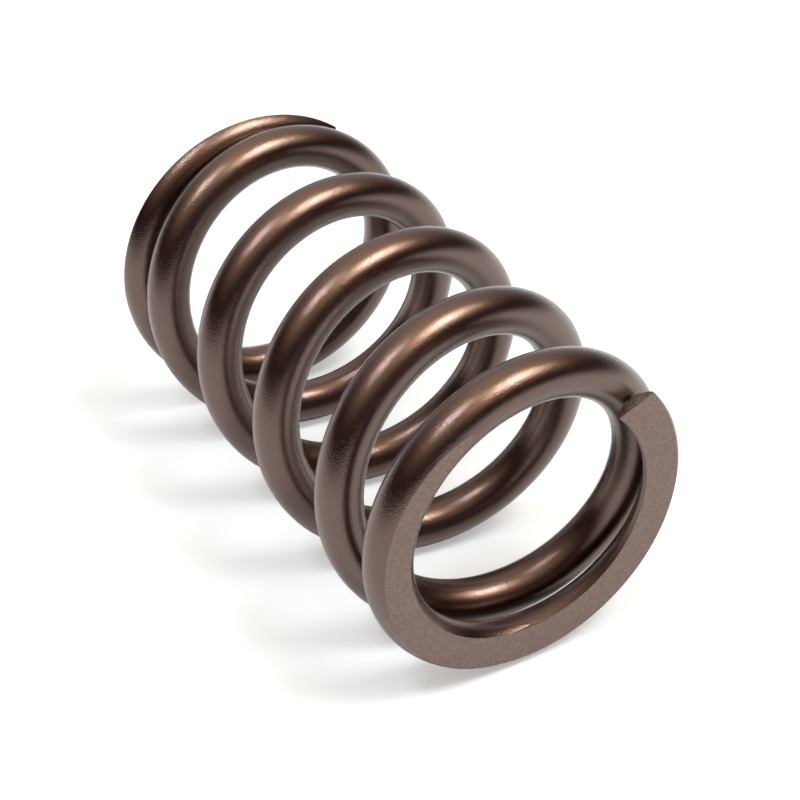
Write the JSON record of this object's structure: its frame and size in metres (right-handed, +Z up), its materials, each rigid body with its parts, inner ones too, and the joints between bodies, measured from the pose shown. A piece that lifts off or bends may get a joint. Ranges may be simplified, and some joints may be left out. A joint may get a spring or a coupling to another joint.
{
  "type": "engine valve spring",
  "caption": "Helical compression spring of round steel wire with closed ends ground flat, which shuts an engine valve. Dark bronze-brown satin finish.",
  "frame": {"origin": "on the coil's axis, in the plane of the bottom ground face", "axes": "+Z up the coil's axis, from the bottom ground face to the top one; +X from the axis to the wire's bottom tip"},
  "size_m": [0.0302, 0.03, 0.0516],
  "materials": {
    "spring_steel": "satin, shot-peened, with a dark bronze-brown oxide coat"
  },
  "bodies": {
    "root": {"valve_spring": "spring_steel"}
  },
  "joints": []
}
